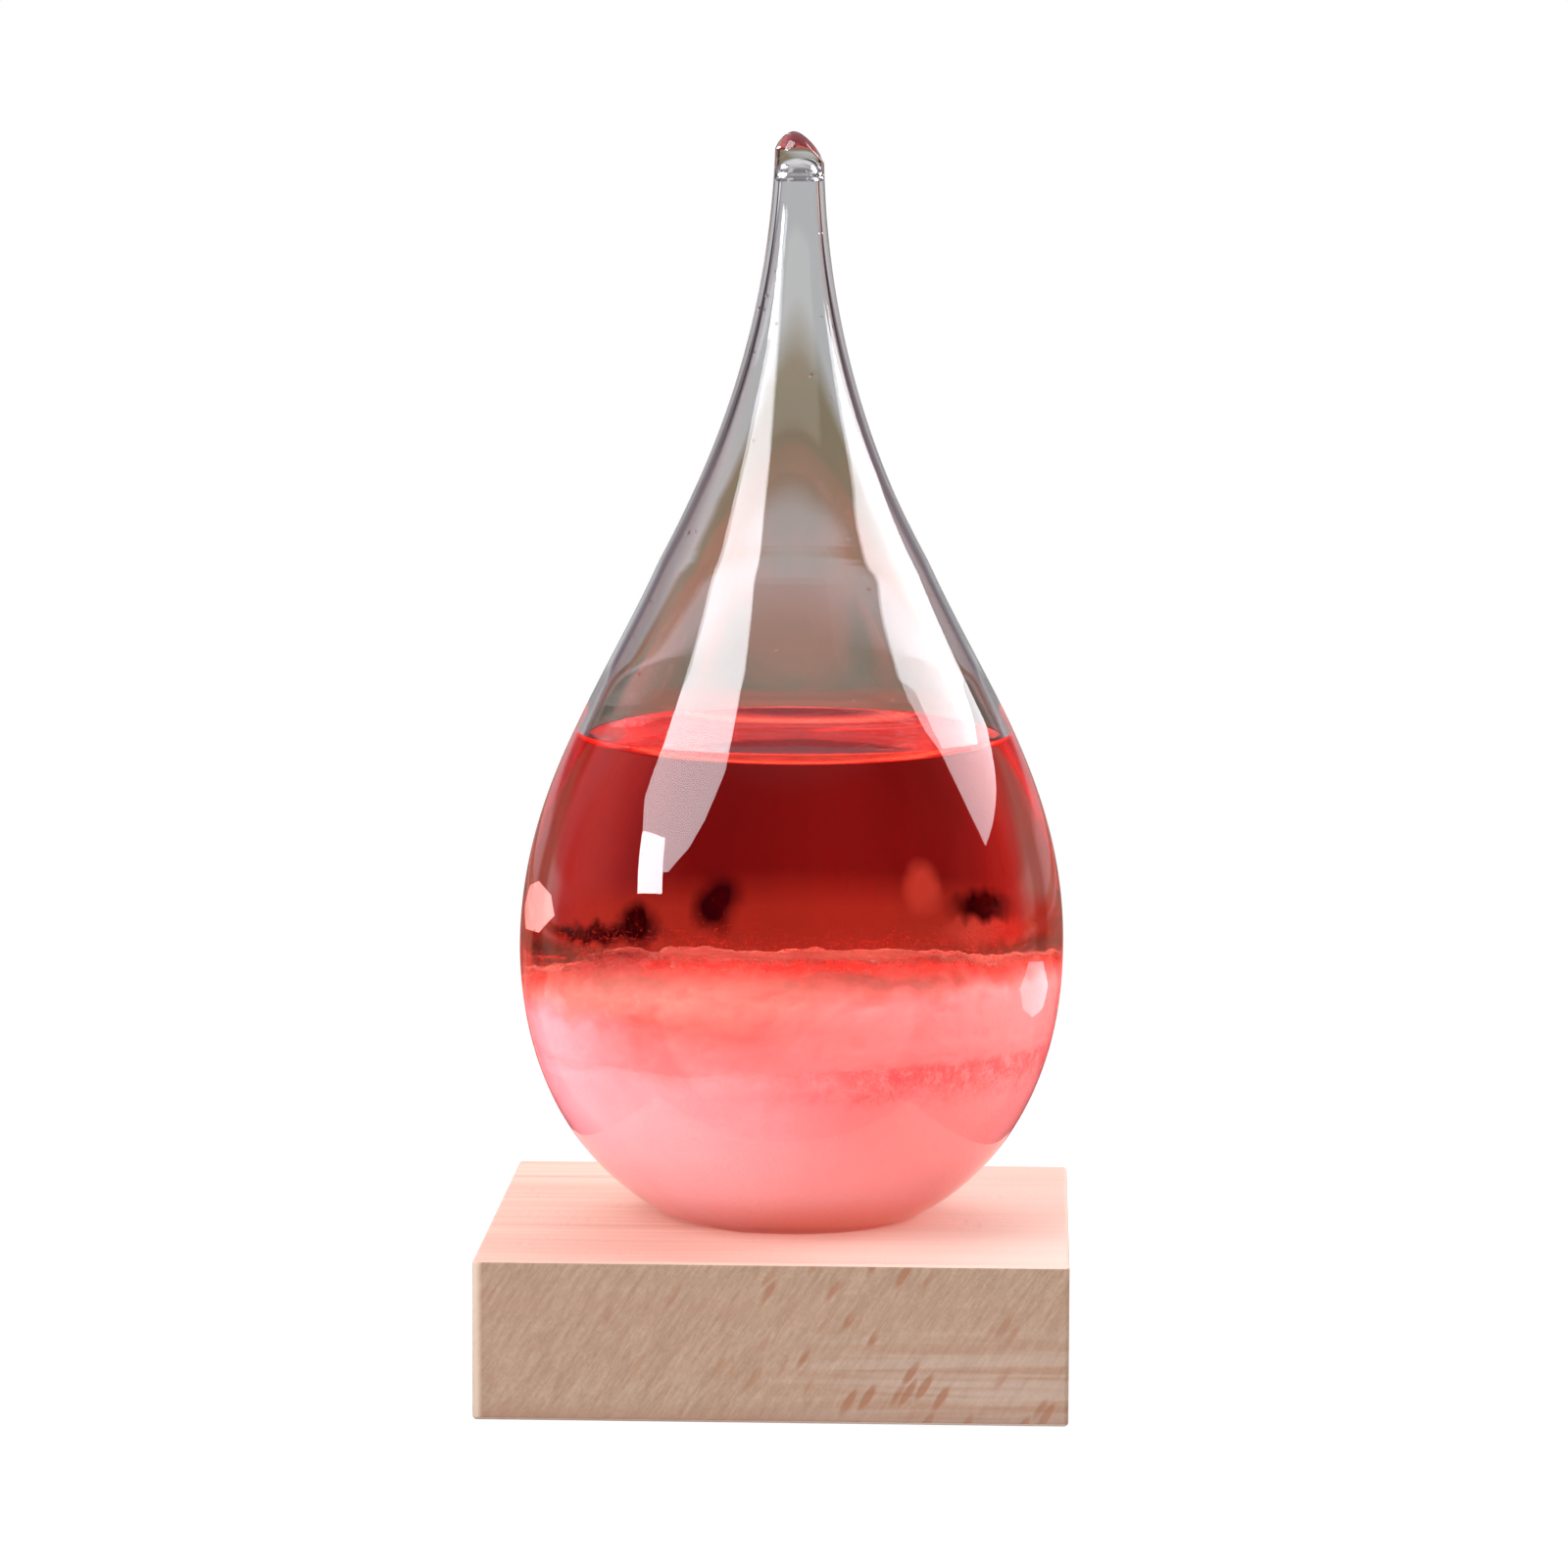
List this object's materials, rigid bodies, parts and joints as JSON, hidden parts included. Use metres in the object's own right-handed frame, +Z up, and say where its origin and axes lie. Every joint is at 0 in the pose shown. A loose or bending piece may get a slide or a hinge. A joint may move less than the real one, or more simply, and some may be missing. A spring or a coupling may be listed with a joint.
{
  "type": "storm glass",
  "caption": "Sealed teardrop of clear blown glass, part filled with a red solution and pale crystals that change with the weather, standing in a shallow seat in a square beech block.",
  "frame": {"origin": "centre of the underside of the wooden block, where it stands on the table", "axes": "+Z up through the drop to its sealed tip, front of the block towards -Y, +X to the viewer's right"},
  "size_m": [0.0636, 0.0636, 0.1367],
  "materials": {
    "beech": "matte",
    "clear_glass": "polished",
    "red_solution": "gloss",
    "packed_crystals": "matte",
    "drifting_crystals": "matte"
  },
  "bodies": {
    "base": {"wood_base": "beech"},
    "vessel": {"glass_vessel": "clear_glass", "solution": "red_solution", "settled_crystals": "packed_crystals", "loose_crystals": "drifting_crystals"}
  },
  "joints": [
    {"name": "vessel_lift", "type": "slide", "parent": "base", "child": "vessel", "axis": [0, 0, 1], "range_m": [0, 0.03]}
  ]
}
